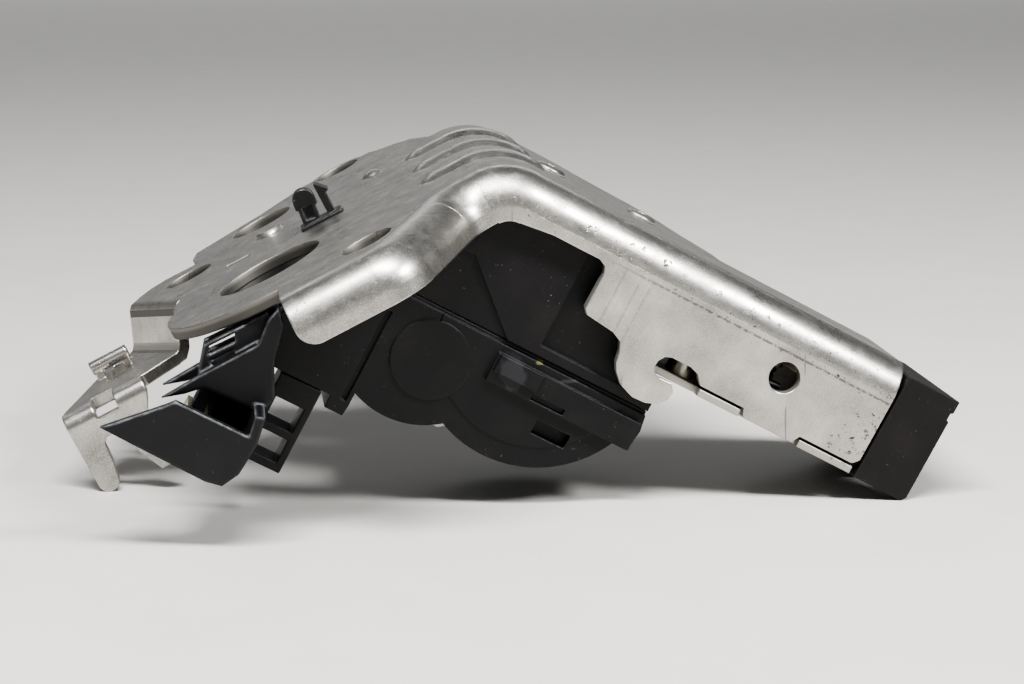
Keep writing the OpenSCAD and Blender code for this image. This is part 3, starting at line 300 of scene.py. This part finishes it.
def moulding(name, look):
    material, tree, shader = newMaterial(name)
    pos = add(tree, "TexCoord", {}, "Object")
    grain = add(tree, "TexNoise", {"Vector": pos, "Scale": look["grain"], "Detail": 3.0, "Roughness": 0.65})
    cloud = add(tree, "TexNoise", {"Vector": pos, "Scale": look["clouds"], "Detail": 4.0, "Roughness": 0.6})
    patchy = add(tree, "TexNoise", {"Vector": pos, "Scale": look["patches"], "Detail": 3.0, "Roughness": 0.6})
    # dust lies in specks, gathered in some places, over a thin film
    fleck = add(tree, "TexNoise", {"Vector": pos, "Scale": look["flecks"], "Detail": 2.0, "Roughness": 0.5})
    where = {"Vector": pos, "Scale": look["dustPlaces"], "Detail": 2.0, "Roughness": 0.5}
    where = add(tree, "MapRange", {0: add(tree, "TexNoise", where), 1: 0.45, 2: 0.62})
    dust = add(tree, "MapRange", {0: fleck, 1: look["dustFrom"], 2: look["dustFrom"] + 0.03})
    dust = add(tree, "Math", {0: dust, 1: where}, operation="MULTIPLY")
    film = add(tree, "MapRange", {0: cloud, 1: 0.45, 2: 0.8, 3: 0.0, 4: look["film"]})
    dusty = add(tree, "Math", {0: dust, 1: film}, operation="MAXIMUM")

    # normals rounded over less than a millimetre differ from the true ones only at edges
    rounded = add(tree, "Bevel", {"Radius": look["edge"]}, samples=6)
    trueNormal = add(tree, "NewGeometry", {}, "Normal")
    same = add(tree, "VectorMath", {0: rounded, 1: trueNormal}, "Value", operation="DOT_PRODUCT")
    rubbedAndLitEdge = add(tree, "MapRange", {0: same, 1: 0.8, 2: 0.98, 3: 1.0, 4: 0.0})
    # edges that face up are lighter than the others: partly rubbed by hands and neighbours, partly a painted
    # highlight from the light above
    rise = add(tree, "VectorMath", {0: rounded, 1: (0, 0, 1)}, "Value", operation="DOT_PRODUCT")
    uneven = add(tree, "MapRange", {0: patchy, 1: 0.38, 2: 0.66, 3: 0.25, 4: 1.0})
    handledAndLitFromAbove = add(tree, "MapRange", {0: rise, 1: -0.1, 2: 0.6, 3: 0.12, 4: look["edgeWearAndHighlight"]})
    for share in (uneven, handledAndLitFromAbove):
        rubbedAndLitEdge = add(tree, "Math", {0: rubbedAndLitEdge, 1: share}, operation="MULTIPLY")
    # rubbed edges and the painted highlight on edges that face up both take the lighter edge colour
    colour = {0: rubbedAndLitEdge, 6: srgb(look["colour"]), 7: srgb(look["wornAndHighlightColour"])}
    colour = add(tree, "Mix", colour, 2, data_type="RGBA")
    colour = add(tree, "Mix", {0: dusty, 6: colour, 7: srgb(look["dust"])}, 2, data_type="RGBA")
    for x, z, wide, high, stain, share in look["stains"]:
        off = add(tree, "VectorMath", {0: pos, 1: (x, 0, z)}, operation="SUBTRACT")
        off = add(tree, "VectorMath", {0: off, 1: (1 / wide, 0, 1 / high)}, operation="MULTIPLY")
        reach = add(tree, "VectorMath", {0: off}, "Value", operation="LENGTH")
        ragged = add(tree, "Math", {0: patchy, 1: 1.2, 2: reach}, operation="MULTIPLY_ADD")
        inside = add(tree, "MapRange", {0: ragged, 1: 1.45, 2: 1.7, 3: share, 4: 0.0})
        colour = add(tree, "Mix", {0: inside, 6: colour, 7: srgb(stain)}, 2, data_type="RGBA")
    tree.links.new(colour, shader.inputs["Base Color"])

    rough = {0: cloud, 1: 0.3, 2: 0.7, 3: look["roughness"] - 0.06, 4: look["roughness"] + 0.06}
    rough = add(tree, "MapRange", rough)
    rough = add(tree, "Math", {0: dust, 1: 0.3, 2: rough}, operation="MULTIPLY_ADD")
    tree.links.new(rough, shader.inputs["Roughness"])
    shader.inputs["IOR"].default_value = 1.53
    # the eroded grain breaks the gloss up, so less of it is seen than on a smooth skin
    shader.inputs["Specular IOR Level"].default_value = look["gloss"]
    relief = add(tree, "Math", {0: dust, 1: 1.5, 2: grain}, operation="MULTIPLY_ADD")
    relief = {"Strength": 0.6, "Distance": look["depth"], "Height": relief, "Normal": rounded}
    tree.links.new(add(tree, "Bump", relief), shader.inputs["Normal"])
    return material


paint("gear_housing", moulding("mouldedNylonUpperShell", nylonLook), 0.3)
# the frame's thin bars have lighter edges than the shells: more rubbing and more painted edge highlight
paint("carrier_frame", moulding("mouldedNylonFrame", {**nylonLook, "edgeWearAndHighlight": 0.6}), 0.2)
# the lower shell was handled: a rubbed latch tab and spots of old grease on its seam
coverLook = {
    **nylonLook, "colour": "#080809", "roughness": 0.43,
    "stains": (
        (-0.0004, 0.0231, 0.0021, 0.0030, "#3d3d42", 0.3),
        (0.0042, 0.0244, 0.0007, 0.00035, "#6c6942", 0.6),
        (0.0092, 0.0212, 0.0016, 0.0003, "#44423f", 0.4),
    ),
}
paint("housing_cover", moulding("mouldedNylonLowerShell", coverLook), 0.3)
# the socket's thin rims are painted pale: mostly a painted highlight where they face up and catch the light,
# over glass filled nylon that goes pale where rubbed
socketLook = {
    # the pale edge colour and strong edge share paint the highlight on the rims
    **nylonLook, "colour": "#09090b", "wornAndHighlightColour": "#7a7d81",
    "roughness": 0.42, "gloss": 0.26, "edgeWearAndHighlight": 0.95, "edge": 0.0009, "dustFrom": 0.74,
}
paint("connector_socket", moulding("mouldedGlassFilledNylonSocket", socketLook), 0.25)
# the cap is softer, so its skin is duller and coarser
capLook = {
    **nylonLook, "colour": "#0d0a0a", "roughness": 0.56,
    "grain": 2300, "depth": 0.00002, "dustFrom": 0.7,
}
paint("end_cap", moulding("mouldedSoftNylonCap", capLook), 0.35)
# a small smooth clip keeps more gloss
clipLook = {**nylonLook, "colour": "#0b0b0c", "roughness": 0.33, "gloss": 0.5, "edgeWearAndHighlight": 0.5}
paint("harness_clip", moulding("mouldedNylonClip", clipLook), 0.25)
# black acetal is a little smoother and greyer than nylon
sliderLook = {**nylonLook, "colour": "#1d1d20", "roughness": 0.4}
paint("release_slider", moulding("mouldedAcetalSlider", sliderLook), 0.15)
# the switch has a matt case, faintly blue, and a brick red button
paint("microswitch", moulding("mouldedSwitchCase", {**nylonLook, "colour": "#141519"}), 0.15)
buttonLook = {**nylonLook, "colour": "#8c3a26", "wornAndHighlightColour": "#a65a44"}
paint("switch_button", moulding("mouldedSwitchButton", buttonLook))
# natural acetal is milky white
wheelLook = {
    **nylonLook, "colour": "#cfc9b8", "wornAndHighlightColour": "#dcd8cc", "dust": "#8a7a58",
    "roughness": 0.38, "dustFrom": 0.74,
}
paint("drive_wheel", moulding("mouldedNaturalAcetalWheel", wheelLook))
# soft urethane round the fork is dull
paint("catch_coat", moulding("overmouldedUrethaneCoat", {**nylonLook, "roughness": 0.6}))
# rubber has hardly any sheen
bufferLook = {**nylonLook, "colour": "#0b0b0b", "roughness": 0.75, "edgeWearAndHighlight": 0.2}
paint("mouth_buffer", moulding("mouldedRubberBuffer", bufferLook), 0.2)
print("scene: mouldings done")

# machined, stamped and drawn small metal: tool lines with a thin film of grease
# the lines are drawn 0.4 mm apart, several times coarser than real, so that they show
smallMetalLook = {
    "colour": "#b0aca1", "film": "#8f8468", "roughness": 0.3,
    "lines": 2400, "clouds": 300, "depth": 0.000008,
}


def smallMetal(name, look):
    material, tree, shader = newMaterial(name)
    pos = add(tree, "TexCoord", {}, "Object")
    squeezed = add(tree, "Mapping", {"Vector": pos, "Scale": (0.15, 0.15, 1.0)})
    lines = {"Vector": squeezed, "Scale": look["lines"], "Detail": 2.0, "Roughness": 0.6}
    lines = add(tree, "TexNoise", lines)
    cloud = {"Vector": pos, "Scale": look["clouds"], "Detail": 3.0, "Roughness": 0.6}
    cloud = add(tree, "TexNoise", cloud)
    greasy = add(tree, "MapRange", {0: cloud, 1: 0.4, 2: 0.75, 3: 0.0, 4: 0.6})
    colour = {0: greasy, 6: srgb(look["colour"]), 7: srgb(look["film"])}
    tree.links.new(add(tree, "Mix", colour, 2, data_type="RGBA"), shader.inputs["Base Color"])
    shader.inputs["Metallic"].default_value = 1.0
    rough = {0: cloud, 1: 0.3, 2: 0.7, 3: look["roughness"] - 0.06, 4: look["roughness"] + 0.1}
    tree.links.new(add(tree, "MapRange", rough), shader.inputs["Roughness"])
    relief = {"Strength": 0.4, "Distance": look["depth"], "Height": lines}
    tree.links.new(add(tree, "Bump", relief), shader.inputs["Normal"])
    return material


# fine blanked latch steel is warm grey under brownish grease
latchLook = {**smallMetalLook, "colour": "#a39b88", "film": "#7d6c48"}
paint("catch", smallMetal("fineBlankedLatchSteel", latchLook), 0.15)
paint("pawl", smallMetal("fineBlankedPawlSteel", latchLook), 0.15)
# cold headed pins are bare and smooth
paint("catch_pivot", smallMetal("coldHeadedCatchPivot", smallMetalLook))
paint("pawl_pivot", smallMetal("coldHeadedPawlPivot", smallMetalLook))
# drawn wire is a dark even grey
wireLook = {**smallMetalLook, "colour": "#7d7c7a", "film": "#5e5c58"}
catchWire = smallMetal("drawnSpringWire", wireLook)
paint("catch_spring", catchWire)
pawlWire = smallMetal("drawnFineSpringWire", wireLook)
paint("pawl_spring", pawlWire)
# ground steel mirrors most, the motor's drawn can is duller and neutral, hobbed brass warm yellow
paint("wheel_axle", smallMetal("groundAxleSteel", {**smallMetalLook, "roughness": 0.22}))
canLook = {**smallMetalLook, "colour": "#a7a7a5", "roughness": 0.36}
paint("motor", smallMetal("deepDrawnMotorCan", canLook), 0.2)
pinionLook = {**smallMetalLook, "colour": "#c9a85c", "film": "#a98436"}
paint("motor_pinion", smallMetal("hobbedBrassPinion", pinionLook))
# zinc plated screws match the bracket, tin plated pins are a soft yellowish white
paint("housing_screws", smallMetal("zincPlatedScrewSteel", smallMetalLook), 0.15)
pinLook = {**smallMetalLook, "colour": "#c7bfa2", "roughness": 0.25}
paint("contact_pins", smallMetal("tinPlatedContact", pinLook))
print("scene: small metal done")


# a body turned from its half outline round an axis, once at each place;
# the outline's points are radius and height in millimetres, and 1 for a hexagon in place of a circle
def turned(name, outline, places, axis, material, steps=48):
    mesh = bpy.data.meshes.new(name)
    shape = bmesh.new()
    turn = axis.to_track_quat("Z", "X").to_matrix()
    for place in places:
        rings = []
        for radius, height, hexagon in outline:
            ring = []
            for i in range(steps):
                a = 2 * math.pi * i / steps
                flatShare = math.cos(math.pi / 6) / math.cos((a % (math.pi / 3)) - math.pi / 6)
                r = radius * (flatShare if hexagon else 1)
                dot = Vector((r * math.cos(a), r * math.sin(a), height)) / 1000
                ring.append(shape.verts.new(place + turn @ dot))
            rings.append(ring)
        for a, b in zip(rings, rings[1:]):
            for i in range(steps):
                shape.faces.new((a[i - 1], a[i], b[i], b[i - 1]))
        if outline[0] != outline[-1]:
            shape.faces.new(rings[0])
            shape.faces.new(list(reversed(rings[-1])))
    bmesh.ops.remove_doubles(shape, verts=shape.verts, dist=0.0000005)
    bmesh.ops.recalc_face_normals(shape, faces=shape.faces)
    shape.to_mesh(mesh)
    shape.free()
    for face in mesh.polygons:
        face.use_smooth = True
    mesh.materials.append(material)
    piece = bpy.data.objects.new(name, mesh)
    bpy.context.scene.collection.objects.link(piece)
    bevel = piece.modifiers.new("edgeRounding", "BEVEL")
    bevel.width = 0.00008
    bevel.segments = 2
    bevel.limit_method = "ANGLE"
    bevel.harden_normals = True
    return piece


# low pan heads with a hexagon socket, on the leg's web
screwLook = {
    "places": ((12, 30), (30, 30)),
    "outline": (
        (1.2, -9, 0), (1.2, -0.02, 0), (2.8, -0.02, 0), (2.8, 0.25, 0), (2.6, 0.55, 0), (2.1, 0.8, 0),
        (1.45, 0.9, 0), (1.3, 0.88, 1), (1.25, 0.2, 1),
    ),
    "steel": {**smallMetalLook, "colour": "#a9a7a2", "film": "#8b8983", "roughness": 0.34},
}
screwPlaces = [legPoint(u, y, 0) for u, y in screwLook["places"]]
screwSteel = smallMetal("zincPlatedScrewHead", screwLook["steel"])
screws = turned("coverScrews", screwLook["outline"], screwPlaces, legUp, screwSteel)
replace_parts(screws, "housing_screws")
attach(screws, "lock_body")


# round wire wound on itself with two straight ends, millimetres in the leg's own directions
def woundWire(name, look, material):
    u, y, v = look["centre"]
    start = math.radians(look["start"])
    pitch = 0.96 * look["wire"]
    steps = 32 * look["turns"]
    points = []
    for i in range(steps + 1):
        turn = look["turns"] * i / steps
        a = start + 2 * math.pi * turn
        low = v - look["wire"] / 2 - pitch * turn
        points.append(Vector((u + look["radius"] * math.cos(a), y + look["radius"] * math.sin(a), low)))
    away = Vector((math.sin(start), -math.cos(start), 0)) * look["end"]
    points = [points[0] + away] + points + [points[-1] - away]
    curve = bpy.data.curves.new(name, "CURVE")
    curve.dimensions = "3D"
    curve.bevel_depth = pitch / 2000
    curve.bevel_resolution = 3
    curve.use_fill_caps = True
    spline = curve.splines.new("POLY")
    spline.points.add(len(points) - 1)
    for dot, point in zip(spline.points, points):
        dot.co = (*legPoint(*point), 1)
    curve.materials.append(material)
    piece = bpy.data.objects.new(name, curve)
    bpy.context.scene.collection.objects.link(piece)
    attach(piece, "lock_body")
    return piece


catchCoilLook = {
    "centre": (57.0, 20.0, -11.2), "radius": 3.9, "wire": 1.2, "turns": 2, "start": -60, "end": 4.5,
}
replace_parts(woundWire("catchCoil", catchCoilLook, catchWire), "catch_spring")
pawlCoilLook = {
    "centre": (43.0, 7.5, -14.2), "radius": 3.2, "wire": 1.0, "turns": 1, "start": 100, "end": 3.6,
}
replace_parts(woundWire("pawlCoil", pawlCoilLook, pawlWire), "pawl_spring")

# painted shade: a short dark ring hung from the plate's large hole so that the hole looks dark inside
shadeRingLook = {
    "centre": (42.7, 15.5),
    "outline": (
        (9.32, -1.9, 0), (9.32, -4.9, 0), (10.07, -4.9, 0), (10.07, -2.6, 0),
        (10.32, -2.2, 0), (10.97, -1.9, 0), (9.32, -1.9, 0),
    ),
    # the ring's dark steel colour is painted shade inside the hole
    "steel": {**smallMetalLook, "colour": "#5d5c59", "film": "#3f3e3b", "roughness": 0.42, "lines": 1500},
}
shadeRingPlace = platePoint(*shadeRingLook["centre"], 0)
shadeRingSteel = smallMetal("darkShadeRingSteel", shadeRingLook["steel"])
shadeRing = turned("holeShadeRing", shadeRingLook["outline"], [shadeRingPlace], plateUp, shadeRingSteel, 96)
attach(shadeRing, "lock_body")
print("scene: screws, collar and springs done")

# pale bench under soft studio light, painted board with hardly any sheen
benchLook = {"pale": "#c0beba", "other": "#b7b5b1", "roughness": 0.6, "size": 24, "patches": 60}
bpy.ops.mesh.primitive_plane_add(size=benchLook["size"], location=(0, 0, 0))
bench = bpy.context.object
bench.name = "paleBench"
boardPaint, boardTree, boardShader = newMaterial("paintedBoard")
boardPlace = add(boardTree, "TexCoord", {}, "Object")
tone = add(boardTree, "TexNoise", {"Vector": boardPlace, "Scale": benchLook["patches"], "Detail": 3.0})
tone = {0: tone, 6: srgb(benchLook["pale"]), 7: srgb(benchLook["other"])}
boardTree.links.new(add(boardTree, "Mix", tone, 2, data_type="RGBA"), boardShader.inputs["Base Color"])
boardShader.inputs["Roughness"].default_value = benchLook["roughness"]
bench.data.materials.append(boardPaint)

# the room is a little darker overhead than at the horizon, so the softboxes stand out in the metal
roomLook = {"horizon": "#a3a5a7", "overhead": "#8f9296", "strength": 0.5}
world = bpy.data.worlds.new("softRoom")
bpy.context.scene.world = world
world.use_nodes = True
room = world.node_tree
roomLight = room.nodes["Background"]
upward = add(room, "SeparateXYZ", {0: add(room, "TexCoord", {}, "Generated")}, 2)
upward = add(room, "MapRange", {0: upward, 1: 0.0, 2: 0.8}, interpolation_type="SMOOTHSTEP")
upward = {0: upward, 6: srgb(roomLook["horizon"]), 7: srgb(roomLook["overhead"])}
room.links.new(add(room, "Mix", upward, 2, data_type="RGBA"), roomLight.inputs["Color"])
roomLight.inputs["Strength"].default_value = roomLook["strength"]

# softboxes: place, aim and size in metres, power in watts
# the leg's one stands where the long roll mirrors it to the camera, the far one keeps the bench pale behind
softboxes = {
    "overheadSoftbox": {"place": (-0.1, -0.3, 0.62), "aim": (0, 0, 0.02), "size": (0.46, 0.1), "power": 12.0},
    "legSoftbox": {"place": (0.44, -0.4, 0.5), "aim": (0.03, -0.03, 0.04), "size": (0.2, 0.16), "power": 7.0},
    "farFill": {"place": (0, 2.4, 1.3), "aim": (0, 2.6, 0), "size": (3.0, 1.2), "power": 26.0},
}
for name, look in softboxes.items():
    light = bpy.data.lights.new(name, "AREA")
    light.shape = "RECTANGLE"
    light.size, light.size_y = look["size"]
    light.energy = look["power"]
    lamp = bpy.data.objects.new(name, light)
    bpy.context.scene.collection.objects.link(lamp)
    lamp.location = look["place"]
    lamp.rotation_euler = (Vector(look["aim"]) - Vector(look["place"])).to_track_quat("-Z", "Y").to_euler()

# camera fitted to the photo: its place, and its right, up and backward directions
cameraLook = {
    "lens": 84.4, "sensor": 36, "place": (-0.046886, -0.410857, 0.103614),
    "right": (0.992546, -0.121869, 0), "up": (0.023671, 0.192787, 0.980955),
    "back": (-0.119548, -0.973643, 0.194234),
}
camera = bpy.data.cameras.new("photoCamera")
camera.sensor_width = cameraLook["sensor"]
camera.lens = cameraLook["lens"]
camera.clip_start = 0.02
cameraTurn = Matrix((cameraLook["right"], cameraLook["up"], cameraLook["back"])).transposed().to_4x4()
view = bpy.data.objects.new("photoCamera", camera)
bpy.context.scene.collection.objects.link(view)
view.matrix_world = Matrix.Translation(cameraLook["place"]) @ cameraTurn
bpy.context.scene.camera = view
bpy.context.scene.view_settings.look = "AgX - Medium High Contrast"
print("scene: studio done")
